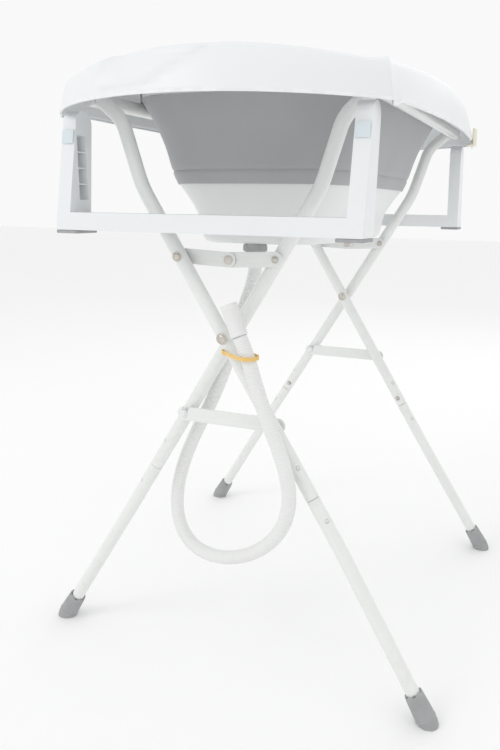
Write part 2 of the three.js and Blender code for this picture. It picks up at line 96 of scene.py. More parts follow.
def addStudio(floorMaterial):
    bpy.ops.mesh.primitive_plane_add(size=studio["floorSize"], location=(0, 0, 0))
    floor = bpy.context.object
    floor.name = "studioFloor"
    floor.data.materials.append(floorMaterial)
    bpy.context.scene.view_settings.view_transform = "Standard"
    world = bpy.data.worlds.new("studioSky")
    world.use_nodes = True
    world.node_tree.nodes["Background"].inputs["Color"].default_value = studio["skyColour"]
    world.node_tree.nodes["Background"].inputs["Strength"].default_value = studio["skyStrength"]
    bpy.context.scene.world = world
    for lamp in lamps:
        bpy.ops.object.light_add(type="AREA", location=lamp["place"])
        light = bpy.context.object
        light.name = lamp["name"]
        light.data.size = lamp["size"]
        light.data.energy = lamp["watts"]
        light.rotation_mode = "QUATERNION"
        toward = Vector(lamp["aim"]) - Vector(lamp["place"])
        light.rotation_quaternion = toward.to_track_quat("-Z", "Y")


# shared finishes
def startGroup(name, inputs, outputs):
    group = bpy.data.node_groups.new(name, "ShaderNodeTree")
    for label, kind, value in inputs:
        socket = group.interface.new_socket(label, in_out="INPUT", socket_type=kind)
        socket.default_value = value
    for label, kind in outputs:
        group.interface.new_socket(label, in_out="OUTPUT", socket_type=kind)
    return group, group.nodes.new("NodeGroupInput"), group.nodes.new("NodeGroupOutput")


def mathNode(tree, operation, first, second, clamp=False):
    node = tree.nodes.new("ShaderNodeMath")
    node.operation = operation
    node.use_clamp = clamp
    for socket, value in zip(node.inputs, (first, second)):
        if hasattr(value, "is_output"):
            tree.links.new(value, socket)
        else:
            socket.default_value = value
    return node.outputs[0]


def rangeNode(tree, value, low, high):
    node = tree.nodes.new("ShaderNodeMapRange")
    node.interpolation_type = "SMOOTHSTEP"
    node.inputs["From Min"].default_value = low
    node.inputs["From Max"].default_value = high
    tree.links.new(value, node.inputs["Value"])
    return node.outputs["Result"]


def noiseNode(tree, place, scale, detail=4.0):
    node = tree.nodes.new("ShaderNodeTexNoise")
    node.inputs["Detail"].default_value = detail
    tree.links.new(place, node.inputs["Vector"])
    if hasattr(scale, "is_output"):
        tree.links.new(scale, node.inputs["Scale"])
    else:
        node.inputs["Scale"].default_value = scale
    return node.outputs["Fac"]


def mixColour(tree, share, first, second):
    node = tree.nodes.new("ShaderNodeMix")
    node.data_type = "RGBA"
    tree.links.new(share, node.inputs[0])
    for socket, value in zip((node.inputs[6], node.inputs[7]), (first, second)):
        if hasattr(value, "is_output"):
            tree.links.new(value, socket)
        else:
            socket.default_value = value
    return node.outputs[2]


def buildSurfaceUse():
    # handling marks: cloudy tone, paler or darker worn edges, settled dust on upward faces
    group, entry, leave = startGroup("surfaceUse", [
        ("Colour", "NodeSocketColor", (0.9, 0.9, 0.9, 1)),
        ("Cloud Colour", "NodeSocketColor", (0.8, 0.8, 0.8, 1)),
        ("Edge Colour", "NodeSocketColor", (1, 1, 1, 1)),
        ("Dust Colour", "NodeSocketColor", (0.7, 0.68, 0.64, 1)),
        ("Cloud Scale", "NodeSocketFloat", 9), ("Cloud Share", "NodeSocketFloat", 0.3),
        ("Edge Share", "NodeSocketFloat", 0.3), ("Dust Share", "NodeSocketFloat", 0.1),
        ("Roughness", "NodeSocketFloat", 0.4), ("Roughness Swing", "NodeSocketFloat", 0.1)],
        [("Colour", "NodeSocketColor"), ("Roughness", "NodeSocketFloat")])
    place = group.nodes.new("ShaderNodeTexCoord").outputs["Object"]
    shape = group.nodes.new("ShaderNodeNewGeometry")
    parts = group.nodes.new("ShaderNodeSeparateXYZ")
    group.links.new(shape.outputs["Normal"], parts.inputs[0])
    cloud = noiseNode(group, place, entry.outputs["Cloud Scale"], 5)
    cloudMask = mathNode(group, "MULTIPLY", rangeNode(group, cloud, 0.38, 0.68), entry.outputs["Cloud Share"])
    tone = mixColour(group, cloudMask, entry.outputs["Colour"], entry.outputs["Cloud Colour"])
    rubbed = rangeNode(group, shape.outputs["Pointiness"], 0.515, 0.58)
    broken = rangeNode(group, noiseNode(group, place, 75, 4), 0.4, 0.62)
    worn = mathNode(group, "MULTIPLY", rubbed, broken)
    edge = mathNode(group, "MULTIPLY", worn, entry.outputs["Edge Share"])
    tone = mixColour(group, edge, tone, entry.outputs["Edge Colour"])
    upward = rangeNode(group, parts.outputs["Z"], 0.35, 0.95)
    settled = mathNode(group, "MULTIPLY", upward, rangeNode(group, noiseNode(group, place, 22, 6), 0.4, 0.75))
    dust = mathNode(group, "MULTIPLY", settled, entry.outputs["Dust Share"])
    tone = mixColour(group, dust, tone, entry.outputs["Dust Colour"])
    drift = mathNode(group, "SUBTRACT", cloud, 0.5)
    swing = mathNode(group, "MULTIPLY", drift, entry.outputs["Roughness Swing"])
    rough = mathNode(group, "ADD", entry.outputs["Roughness"], swing)
    rough = mathNode(group, "ADD", rough, mathNode(group, "MULTIPLY", dust, 0.5), clamp=True)
    group.links.new(tone, leave.inputs["Colour"])
    group.links.new(rough, leave.inputs["Roughness"])
    return group


def buildFineGrain():
    # a pebbled mould texture: two sizes of grain
    group, entry, leave = startGroup("fineGrain", [
        ("Scale", "NodeSocketFloat", 600), ("Pebble Share", "NodeSocketFloat", 0.4)],
        [("Height", "NodeSocketFloat")])
    place = group.nodes.new("ShaderNodeTexCoord").outputs["Object"]
    grain = noiseNode(group, place, entry.outputs["Scale"], 2)
    pebble = group.nodes.new("ShaderNodeTexVoronoi")
    group.links.new(place, pebble.inputs["Vector"])
    coarse = mathNode(group, "MULTIPLY", entry.outputs["Scale"], 0.6)
    group.links.new(coarse, pebble.inputs["Scale"])
    bumps = mathNode(group, "MULTIPLY", pebble.outputs["Distance"], entry.outputs["Pebble Share"])
    group.links.new(mathNode(group, "ADD", grain, bumps), leave.inputs["Height"])
    return group


surfaceUse = buildSurfaceUse()
fineGrain = buildFineGrain()


def addMaterial(name, look):
    material = bpy.data.materials.new(name)
    material.use_nodes = True
    tree = material.node_tree
    shader = tree.nodes["Principled BSDF"]
    shader.inputs["Metallic"].default_value = look.get("metallic", 0.0)
    shader.inputs["Coat Weight"].default_value = look.get("coat", 0.0)
    shader.inputs["Coat Roughness"].default_value = look.get("coatRoughness", 0.1)
    shader.inputs["Specular IOR Level"].default_value = look.get("specular", 0.5)
    use = tree.nodes.new("ShaderNodeGroup")
    use.node_tree = surfaceUse
    for label, key in (("Colour", "colour"), ("Cloud Colour", "cloudColour"),
                       ("Edge Colour", "edgeColour"), ("Cloud Scale", "cloudScale"),
                       ("Cloud Share", "cloudShare"), ("Edge Share", "edgeShare"),
                       ("Dust Share", "dustShare"), ("Roughness", "roughness"), ("Roughness Swing", "swing")):
        if key in look:
            use.inputs[label].default_value = look[key]
    grain = tree.nodes.new("ShaderNodeGroup")
    grain.node_tree = fineGrain
    grain.inputs["Scale"].default_value = look.get("grainScale", 600)
    grain.inputs["Pebble Share"].default_value = look.get("pebbleShare", 0.4)
    bump = tree.nodes.new("ShaderNodeBump")
    bump.inputs["Strength"].default_value = look.get("bumpStrength", 0.1)
    bump.inputs["Distance"].default_value = look.get("bumpDepth", 0.0002)
    tree.links.new(grain.outputs["Height"], bump.inputs["Height"])
    tree.links.new(bump.outputs["Normal"], shader.inputs["Normal"])
    tree.links.new(use.outputs["Colour"], shader.inputs["Base Color"])
    tree.links.new(use.outputs["Roughness"], shader.inputs["Roughness"])
    return material, tree, use, shader


looks = {
    "enamel": {"colour": (0.80, 0.815, 0.80, 1), "cloudColour": (0.77, 0.785, 0.765, 1), "cloudScale": 14,
               "cloudShare": 0.35, "edgeColour": (0.66, 0.64, 0.60, 1), "edgeShare": 0.25, "dustShare": 0.05,
               "roughness": 0.3, "swing": 0.12, "coat": 0.5, "coatRoughness": 0.08, "grainScale": 240,
               "bumpStrength": 0.12, "bumpDepth": 0.0003, "pebbleShare": 0.1},
    "whitePlastic": {"colour": (0.80, 0.82, 0.83, 1), "cloudColour": (0.77, 0.79, 0.80, 1), "cloudScale": 6,
                     "cloudShare": 0.3, "edgeColour": (0.93, 0.94, 0.94, 1), "edgeShare": 0.4,
                     "dustShare": 0.05,
                     "roughness": 0.4, "swing": 0.1, "grainScale": 900, "bumpStrength": 0.1},
    "softGrey": {"colour": (0.40, 0.405, 0.415, 1), "cloudColour": (0.365, 0.37, 0.38, 1), "cloudScale": 7,
                 "cloudShare": 0.4, "edgeColour": (0.48, 0.48, 0.49, 1), "edgeShare": 0.5, "dustShare": 0.1,
                 "roughness": 0.52, "swing": 0.12, "grainScale": 1300, "bumpStrength": 0.14},
    "panWhite": {"colour": (0.78, 0.79, 0.79, 1), "cloudColour": (0.75, 0.76, 0.76, 1), "cloudScale": 8,
                 "cloudShare": 0.3, "edgeShare": 0.3, "dustShare": 0.05, "roughness": 0.36, "swing": 0.1,
                 "grainScale": 1000, "bumpStrength": 0.08},
    "rubberGrey": {"colour": (0.36, 0.365, 0.37, 1), "cloudColour": (0.30, 0.305, 0.31, 1), "cloudScale": 40,
                   "cloudShare": 0.5, "edgeColour": (0.42, 0.42, 0.42, 1), "edgeShare": 0.6, "dustShare": 0.3,
                   "roughness": 0.7, "swing": 0.15, "grainScale": 1500, "bumpStrength": 0.25},
    "nickel": {"colour": (0.62, 0.59, 0.54, 1), "cloudColour": (0.45, 0.42, 0.38, 1), "cloudScale": 120,
               "cloudShare": 0.5, "edgeColour": (0.8, 0.78, 0.74, 1), "edgeShare": 0.4, "dustShare": 0.05,
               "roughness": 0.26, "swing": 0.2, "metallic": 1.0, "grainScale": 1800, "bumpStrength": 0.05},
    "hoseWhite": {"colour": (0.79, 0.80, 0.79, 1), "cloudColour": (0.75, 0.755, 0.74, 1), "cloudScale": 18,
                  "cloudShare": 0.35, "edgeColour": (0.88, 0.88, 0.87, 1), "edgeShare": 0.3,
                  "dustShare": 0.08,
                  "roughness": 0.46, "swing": 0.12, "grainScale": 900, "bumpStrength": 0.08},
    "insertBlue": {"colour": (0.67, 0.74, 0.77, 1), "cloudColour": (0.60, 0.68, 0.72, 1), "cloudScale": 30,
                   "cloudShare": 0.4, "edgeShare": 0.3, "dustShare": 0.05, "roughness": 0.35, "swing": 0.1,
                   "grainScale": 1000, "bumpStrength": 0.06},
    "clipCream": {"colour": (0.78, 0.75, 0.60, 1), "cloudColour": (0.70, 0.67, 0.52, 1), "cloudScale": 30,
                  "cloudShare": 0.4, "edgeShare": 0.3, "dustShare": 0.05, "roughness": 0.42, "swing": 0.1,
                  "grainScale": 1000, "bumpStrength": 0.1},
    "floorPale": {"colour": studio["floorColour"], "cloudColour": (0.93, 0.93, 0.93, 1), "cloudScale": 1.5,
                  "cloudShare": 0.4, "edgeShare": 0.0, "dustShare": 0.0, "roughness": 0.7, "swing": 0.1,
                  "grainScale": 300, "bumpStrength": 0.02},
}
materials = {name: addMaterial(name, look)[0] for name, look in looks.items()}


def addBandWeave():
    # braided elastic: fine ribs across the band, of a lighter thread
    look = {"colour": (0.86, 0.50, 0.10, 1), "cloudColour": (0.72, 0.38, 0.07, 1), "cloudScale": 60,
            "cloudShare": 0.5, "edgeShare": 0.2, "roughness": 0.68, "swing": 0.1, "bumpStrength": 0.2}
    material, tree, use, shader = addMaterial("bandWeave", look)
    place = tree.nodes.new("ShaderNodeTexCoord").outputs["Object"]
    ribs = tree.nodes.new("ShaderNodeTexWave")
    ribs.bands_direction = "Z"
    ribs.inputs["Scale"].default_value = 320
    ribs.inputs["Distortion"].default_value = 1.5
    tree.links.new(place, ribs.inputs["Vector"])
    pale = mixColour(tree, ribs.outputs["Fac"], use.outputs["Colour"], (0.93, 0.68, 0.28, 1))
    tree.links.new(pale, shader.inputs["Base Color"])
    bump = next(node for node in tree.nodes if node.bl_idname == "ShaderNodeBump")
    bump.inputs["Strength"].default_value = 0.6
    bump.inputs["Distance"].default_value = 0.0004
    tree.links.new(ribs.outputs["Fac"], bump.inputs["Height"])
    return material


materials["bandWeave"] = addBandWeave()
materialOfSlot = {"enamel": "enamel", "white_plastic": "whitePlastic", "soft_grey": "softGrey",
                  "pan_white": "panWhite", "plug_grey": "softGrey", "rubber_grey": "rubberGrey",
                  "nickel": "nickel", "hose_white": "hoseWhite", "band_orange": "bandWeave",
                  "insert_blue": "insertBlue", "clip_cream": "clipCream"}
addStudio(materials["floorPale"])
print("finishes made")


# shaping helpers
mergeReach = 0.00002


def deselectAll():
    if bpy.context.object and bpy.context.object.mode != "OBJECT":
        bpy.ops.object.mode_set(mode="OBJECT")
    bpy.ops.object.select_all(action="DESELECT")


def pick(piece):
    deselectAll()
    piece.select_set(True)
    bpy.context.view_layer.objects.active = piece


def growShell(name, rings, capStart=False, capEnd=False):
    # a circle is extruded edge by edge, and each new ring of points is moved to its place
    deselectAll()
    bpy.ops.mesh.primitive_circle_add(vertices=len(rings[0]), radius=0.1)
    piece = bpy.context.object
    piece.name = name
    for vertex, point in zip(piece.data.vertices, rings[0]):
        vertex.co = point
    bpy.ops.object.mode_set(mode="EDIT")
    bpy.ops.mesh.select_mode(type="EDGE")
    mesh = bmesh.from_edit_mesh(piece.data)
    place = mesh.verts.layers.int.new("place")
    for vertex in mesh.verts:
        vertex[place] = vertex.index
    bpy.ops.mesh.select_all(action="SELECT")
    for ring in rings[1:]:
        bpy.ops.mesh.extrude_region()
        mesh = bmesh.from_edit_mesh(piece.data)
        place = mesh.verts.layers.int["place"]
        for vertex in mesh.verts:
            if vertex.select:
                vertex.co = ring[vertex[place]]
        bmesh.update_edit_mesh(piece.data)
    if capEnd:
        bpy.ops.mesh.edge_face_add()
    if capStart:
        bpy.ops.mesh.select_all(action="DESELECT")
        bpy.ops.mesh.select_non_manifold(extend=False)
        bpy.ops.mesh.edge_face_add()
    bpy.ops.mesh.select_all(action="SELECT")
    bpy.ops.mesh.remove_doubles(threshold=mergeReach)
    bpy.ops.mesh.normals_make_consistent(inside=False)
    bpy.ops.object.mode_set(mode="OBJECT")
    return piece


def useModifier(piece, kind, **settings):
    pick(piece)
    modifier = piece.modifiers.new(kind.title(), kind)
    for key, value in settings.items():
        setattr(modifier, key, value)
    bpy.ops.object.modifier_apply(modifier=modifier.name)


def smoothPiece(piece, degrees=35):
    pick(piece)
    bpy.ops.object.shade_smooth_by_angle(angle=math.radians(degrees))


def settle(piece, node, degrees=35, body=None):
    # the piece takes the finish, the body and the place of the node it stands for
    smoothPiece(piece, degrees)
    piece.data.materials.clear()
    piece.data.materials.append(materials[materialOfSlot[slotOf[node]]])
    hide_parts(node)
    if body != "blended":
        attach(piece, body or bodyOf[node])
    return piece


def joinPieces(piece, others):
    deselectAll()
    for other in [piece, *others]:
        other.select_set(True)
    bpy.context.view_layer.objects.active = piece
    bpy.ops.object.join()
    return piece


def cutAway(piece, cutter):
    useModifier(piece, "BOOLEAN", operation="DIFFERENCE", solver="EXACT", object=cutter)
    bpy.data.objects.remove(cutter)


def refinedCopy(node, name, bevel, segments=3, degrees=30):
    # the plain solid with its points merged, given rounded edges
    source = frame["nodes"][node]
    piece = bpy.data.objects.new(name, source.data.copy())
    bpy.context.scene.collection.objects.link(piece)
    pick(piece)
    bpy.ops.object.mode_set(mode="EDIT")
    bpy.ops.mesh.select_all(action="SELECT")
    bpy.ops.mesh.remove_doubles(threshold=mergeReach)
    bpy.ops.mesh.normals_make_consistent(inside=False)
    bpy.ops.object.mode_set(mode="OBJECT")
    if bevel:
        useModifier(piece, "BEVEL", width=bevel, segments=segments, limit_method="ANGLE",
                    angle_limit=math.radians(degrees), harden_normals=False)
    return piece


def roundPath(points, reach, steps=8):
    # straight runs joined by rounded corners
    path = [Vector(points[0])]
    for before, corner, after in zip(points, points[1:], points[2:]):
        corner = Vector(corner)
        inward = corner + (Vector(before) - corner).normalized() * reach
        outward = corner + (Vector(after) - corner).normalized() * reach
        for i in range(steps + 1):
            t = i / steps
            path.append((1 - t) ** 2 * inward + 2 * t * (1 - t) * corner + t * t * outward)
    path.append(Vector(points[-1]))
    return path


def sweepRings(path, radii, sides, ripple=None):
    # rings square to a path, turned as little as possible from one to the next
    rings = []
    normal = None
    for i, point in enumerate(path):
        tangent = (path[min(i + 1, len(path) - 1)] - path[max(i - 1, 0)]).normalized()
        if normal is None:
            normal = tangent.orthogonal()
        normal = (normal - normal.dot(tangent) * tangent).normalized()
        side = tangent.cross(normal)
        ring = []
        for k in range(sides):
            angle = 2 * math.pi * k / sides
            spot = point + radii[i] * (math.cos(angle) * normal + math.sin(angle) * side)
            if ripple and ripple[i]:
                spot = spot + tangent * ripple[i] * math.cos(ripple[-1] * angle)
            ring.append(spot)
        rings.append(ring)
    return rings


def tubePiece(name, path, radius, sides=28, ease=0.0009):
    # a tube whose two ends are eased over
    def along(a, b, length):
        return a + (b - a).normalized() * length
    points = [path[0], along(path[0], path[1], ease), *path[1:-1], along(path[-1], path[-2], ease), path[-1]]
    radii = [radius - ease] + [radius] * (len(points) - 2) + [radius - ease]
    return growShell(name, sweepRings(points, radii, sides), capStart=True, capEnd=True)


def turnedPiece(name, profile, centre, direction, sides=28):
    # profile: (radius, height) pairs from the base up the axis; a radius of 0 closes an end
    axis = Vector(direction).normalized()
    side = axis.orthogonal().normalized()
    other = axis.cross(side)
    rings = []
    for radius, height in profile:
        rings.append([Vector(centre) + axis * height + max(radius, 0.000001) * (
            math.cos(2 * math.pi * k / sides) * side + math.sin(2 * math.pi * k / sides) * other)
            for k in range(sides)])
    return growShell(name, rings)


# legs and rails
stand = {"radius": 0.0095, "slope": 0.622, "crossHeight": 0.492, "kinkHeight": 0.687, "jointHeight": 0.284,
         "splayHeight": 0.221, "crossY": 0.258, "offset": 0.0136, "footX": 0.296, "footHeight": 0.014,
         "footSplay": 0.013, "railX": 0.194, "railHeight": 0.798, "buttonHeight": 0.297, "gap": 0.0003,
         "shoulderX": 0.149, "shoulderHeight": 0.772, "topBend": 0.016, "splayBend": 0.020,
         "screwHeights": (0.326, 0.258), "screwWay": (0.72, -0.69, 0.12), "railReach": 0.0092}
screw = {"seat": 0.0016, "well": [(0, 0), (0.0030, 0), (0.0030, 0.004), (0, 0.004)],
         "plug": [(0, 0), (0.0026, 0), (0.0026, 0.0019), (0.0019, 0.0025), (0.0008, 0.0026), (0.0007, 0.0019),
                  (0, 0.0019)]}
buttonWell = [(0, -0.004), (0.0041, -0.004), (0.0041, 0.006), (0, 0.006)]
legs = {"a": (1, -1, -1), "b": (-1, -1, 1), "c": (1, 1, -1), "d": (-1, 1, 1)}   # foot side, end, layer


def legX(height):
    return stand["slope"] * (stand["crossHeight"] - height)


def addLeg(tag):
    side, end, layer = legs[tag]
    y = end * stand["crossY"] + layer * stand["offset"]
    jointHeight, kink, splay = stand["jointHeight"], stand["kinkHeight"], stand["splayHeight"]
    start = jointHeight + stand["gap"]
    upper = roundPath([
        (side * legX(start), y, start), (side * legX(kink), y, kink),
        (-side * stand["shoulderX"], y, stand["shoulderHeight"]),
        (-side * (stand["railX"] - 0.0118), y, stand["railHeight"] - 0.001)], stand["topBend"])
    lower = roundPath([
        (side * legX(jointHeight), y, jointHeight), (side * legX(splay), y, splay),
        (side * stand["footX"], y + end * stand["footSplay"], stand["footHeight"])], stand["splayBend"], 12)
    top = tubePiece(f"legUpper{tag.upper()}", upper, stand["radius"])
    buttonX = side * legX(stand["buttonHeight"])
    # a shallow well round the snap button, and a screw well above and below the joint
    cutAway(top, turnedPiece("well", buttonWell, (buttonX, y - end * stand["radius"], stand["buttonHeight"]),
                             (0, -end, 0), 20))
    bottom = tubePiece(f"legLower{tag.upper()}", lower, stand["radius"])
    across, ahead, above = stand["screwWay"]
    outward = Vector((side * across, ahead, above)).normalized()
    plugs = []
    for piece, height in zip((top, bottom), stand["screwHeights"]):
        centre = Vector((side * legX(height), y, height)) + outward * (stand["radius"] - screw["seat"])
        cutAway(piece, turnedPiece("well", screw["well"], centre, outward, 18))
        plugs.append(turnedPiece("plug", screw["plug"], centre, outward, 18))
    settle(joinPieces(top, [plugs[0]]), f"leg_{tag}_upper")
    settle(joinPieces(bottom, [plugs[1]]), f"leg_{tag}_lower")


def addRail(number, side, layer):
    reach = stand["crossY"] + stand["railReach"]
    shift = layer * stand["offset"]
    x, z = side * stand["railX"], stand["railHeight"]
    path = [Vector((x, y, z)) for y in (-reach + shift, 0, reach + shift)]
    settle(tubePiece(f"topRail{number}", path, stand["radius"]), f"top_rail_{number}")


for tag in legs:
    addLeg(tag)
addRail(1, -1, -1)
addRail(2, 1, 1)
print("legs and rails")


# rubber foot caps
capShape = {"profile": [(0.0098, -0.024), (0.0122, -0.0205), (0.0138, -0.014), (0.0142, -0.006),
                        (0.0140, 0.004), (0.0134, 0.016), (0.0130, 0.0235), (0.0127, 0.0270),
                        (0.0118, 0.0290), (0.0104, 0.0288), (0.0101, 0.0270)],
            "ring": [(0.0141, -0.0013), (0.0147, -0.0006), (0.0147, 0.0006), (0.0141, 0.0013),
                     (0.0130, 0.0013), (0.0130, -0.0013), (0.0141, -0.0013)],
            "scallops": 5, "scallopDepth": 0.0019, "toe": 0.024, "ringDrop": 0.006, "sole": 0.0001}


def addFootCap(tag):
    side, end, layer = legs[tag]
    y = end * stand["crossY"] + layer * stand["offset"]
    foot = Vector((side * stand["footX"], y + end * stand["footSplay"], stand["footHeight"]))
    axis = (Vector((side * legX(stand["splayHeight"]), y, stand["splayHeight"])) - foot).normalized()
    radii = [pair[0] for pair in capShape["profile"]]
    ripple = [0] * 7 + [capShape["scallopDepth"]] * 4 + [capShape["scallops"]]
    rings = sweepRings([foot + axis * pair[1] for pair in capShape["profile"]], radii, 40, ripple)
    low = foot - axis * capShape["toe"]
    rings = [[low + (point - low) * 0.02 for point in rings[0]]] + rings
    cap = growShell(f"footCap{tag.upper()}", rings, capStart=True, capEnd=True)
    pick(cap)
    bpy.ops.object.mode_set(mode="EDIT")
    bpy.ops.mesh.select_all(action="SELECT")
    bpy.ops.mesh.bisect(plane_co=(0, 0, capShape["sole"]), plane_no=(0, 0, 1), clear_inner=True,
                        use_fill=True)
    bpy.ops.object.mode_set(mode="OBJECT")
    band = turnedPiece("capRing", capShape["ring"], foot - axis * capShape["ringDrop"], axis, 40)
    settle(joinPieces(cap, [band]), f"foot_cap_{tag}", degrees=40)


for tag in legs:
    addFootCap(tag)
print("foot caps")


# rivets, bolts, buttons
headShape = {"seat": 0.0013, "lowHead": 0.0013, "washer": 1.28, "washerLift": 0.0007, "dome": 0.0021}
button = {"radius": 0.0033, "shoulder": (0.0029, 0.0006), "edge": 0.0016, "crown": (0.0016, 0.0001)}


def domeProfile(radius):
    washer, lift, dome = radius * headShape["washer"], headShape["washerLift"], headShape["dome"]
    return [(0, -0.0002), (washer, -0.0002), (washer, lift * 0.6), (washer * 0.96, lift), (radius, lift),
            (radius * 0.97, lift + dome * 0.3), (radius * 0.82, lift + dome * 0.66),
            (radius * 0.5, lift + dome * 0.92), (radius * 0.2, lift + dome), (0, lift + dome)]


def addRivet(node, name, faces, radius=0.005, shaft=0.0026):
    low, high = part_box(node)
    x, z = (low.x + high.x) / 2, (low.z + high.z) / 2
    headHeight = headShape["seat"]
    length = high.y - low.y - 2 * headHeight * (len(faces) - 0.5)
    start = low.y + headHeight * (1 if "front" in faces else 0)
    pin = [(0, 0), (shaft, 0), (shaft, length), (0, length)]
    pieces = [turnedPiece(name, pin, (x, start, z), (0, 1, 0), 16)]
    profile = domeProfile(radius)
    if node.startswith("middle_rivet"):
        # low heads, that pass beside the leg tubes when the links fold up
        share = headShape["lowHead"] / profile[-1][1]
        profile = [(across, height * share) for across, height in profile]
    if "front" in faces:
        pieces.append(turnedPiece("head", profile, (x, low.y + headHeight, z), (0, -1, 0)))
    if "rear" in faces:
        pieces.append(turnedPiece("head", profile, (x, high.y - headHeight, z), (0, 1, 0)))
    settle(joinPieces(pieces[0], pieces[1:]), node)


for end, (one, two) in (("front", "ab"), ("rear", "cd")):
    addRivet(f"cross_bolt_{end}", f"crossBolt{end.title()}", ("front", "rear"), 0.006, 0.0034)
    addRivet(f"link_rivet_{one}", f"linkRivet{one.upper()}", ("front",))
    addRivet(f"link_rivet_{two}", f"linkRivet{two.upper()}", ("front",), 0.0038)
    addRivet(f"middle_rivet_{end}_front", f"middleRivet{end.title()}Front", ("front",))
    addRivet(f"middle_rivet_{end}_back", f"middleRivet{end.title()}Back", ("rear",))
    addRivet(f"strut_rivet_{one}", f"strutRivet{one.upper()}", ("rear",))
    addRivet(f"catch_pin_{two}", f"catchPin{two.upper()}", ("front",), 0.0044, 0.0035)
for tag in legs:
    side, end, layer = legs[tag]
    low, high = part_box(f"snap_button_{tag}")
    base = high.y if end > 0 else low.y
    depth = high.y - low.y
    centre = ((low.x + high.x) / 2, base, (low.z + high.z) / 2)
    profile = [(0, 0), (button["radius"], 0), (button["radius"], depth - button["edge"]),
               (button["shoulder"][0], depth - button["shoulder"][1]),
               (button["crown"][0], depth - button["crown"][1]), (0, depth)]
    settle(turnedPiece(f"snapButton{tag.upper()}", profile, centre, (0, -end, 0), 24), f"snap_button_{tag}")
for end in ("front", "rear"):
    for hand in ("left", "right"):
        link = f"link_{end}_{hand}"
        settle(refinedCopy(link, f"link{end.title()}{hand.title()}", 0.0005), link)
    settle(refinedCopy(f"strut_{end}", f"strut{end.title()}", 0.0007), f"strut_{end}")
print("pivots and links")


# bath rim
rim = {
    "lower": {"halfX": 0.246, "halfY": 0.408,
              "cornerX": 0.2245, "cornerY": 0.302, "mid": 0.780, "corner": 0.778},
    "shoulder": {"halfX": 0.240, "halfY": 0.394,
                 "cornerX": 0.217, "cornerY": 0.298, "mid": 0.816, "corner": 0.806},
    "crown": {"halfX": 0.232, "halfY": 0.374,
              "cornerX": 0.212, "cornerY": 0.286, "mid": 0.834, "corner": 0.820},
    "deck": {"halfX": 0.216, "halfY": 0.348,
             "cornerX": 0.202, "cornerY": 0.270, "mid": 0.838, "corner": 0.826},
    "perArc": (40, 44, 40, 44), "wall": 0.003, "openX": 0.187, "openY": 0.230, "power": 5,
    "bead": (0.012, 0.014, 0.8325), "crest": (0.005, 0.006, 0.8365), "lip": (-0.001, -0.001, 0.833),
    "tuck": (-0.0018, -0.0018, 0.824), "skirt": (-0.002, -0.002, 0.8084),
    "earHeight": 0.005, "earReach": 0.020, "heelDrop": 0.005,
    "scoop": {"left": -0.105, "right": 0.062, "low": 0.785, "depth": 0.013, "soft": 0.012},
    "tray": {"halfX": 0.105, "near": 0.262, "far": 0.322, "depth": 0.006},
}


def arcRing(level, inset=0.0, ears=0.0, heels=0.0):
    # four arcs that meet at the rim's corners, with the points crowded towards each corner
    cornerX, cornerY = level["cornerX"] - inset, level["cornerY"] - inset
    corners = [Vector((-cornerX, -cornerY)), Vector((cornerX, -cornerY)), Vector((cornerX, cornerY)),
               Vector((-cornerX, cornerY))]
    endSag, sideSag = level["halfY"] - level["cornerY"], level["halfX"] - level["cornerX"]
    bulges = [Vector((0, -endSag)), Vector((sideSag, 0)), Vector((0, endSag)), Vector((-sideSag, 0))]
    ring = []
    for k, count in enumerate(rim["perArc"]):
        start, stop, bulge = corners[k], corners[(k + 1) % 4], bulges[k]
        half = (stop - start).length / 2
        sag = bulge.length
        radius = (half * half + sag * sag) / (2 * sag)
        for i in range(count):
            t = 0.5 - 0.5 * math.cos(math.pi * i / count)
            along = (2 * t - 1) * half
            rise = math.sqrt(radius * radius - along * along) - (radius - sag)
            spot = start.lerp(stop, t) + bulge.normalized() * rise
            height = level["corner"] + (level["mid"] - level["corner"]) * math.sin(math.pi * t)
            near = max(0.0, 1 - min(t, 1 - t) * 2 * half / rim["earReach"])
            height += ears * near * near - heels * min(1.0, 2 * near) * (k % 2)
            ring.append(Vector((spot.x, spot.y, height)))
    return ring


def roundedRing(halfX, halfY, height, power=rim["power"]):
    ring = []
    for spot in arcRing(rim["lower"]):
        angle = math.atan2(spot.y / rim["lower"]["halfY"], spot.x / rim["lower"]["halfX"])
        cosine, sine = math.cos(angle), math.sin(angle)
        reach = (abs(cosine) ** power + abs(sine) ** power) ** (-1 / power)
        ring.append(Vector((halfX * reach * cosine, halfY * reach * sine, height)))
    return ring


def blendRings(keys, between):
    # a smooth curve through each line of matching points; between: how many rings fill each span
    rings = []
    for i in range(len(keys) - 1):
        before, after = keys[max(i - 1, 0)], keys[min(i + 2, len(keys) - 1)]
        start, stop = keys[i], keys[i + 1]
        for j in range(between[i]):
            t = j / between[i]
            rings.append([
                0.5 * ((2 * b) + (c - a) * t + (2 * a - 5 * b + 4 * c - d) * t * t
                       + (3 * b - a - 3 * c + d) * t ** 3)
                for a, b, c, d in zip(before, start, stop, after)])
    rings.append(keys[-1])
    return rings


def ease(value, low, high):
    t = min(1.0, max(0.0, (value - low) / (high - low)))
    return t * t * (3 - 2 * t)


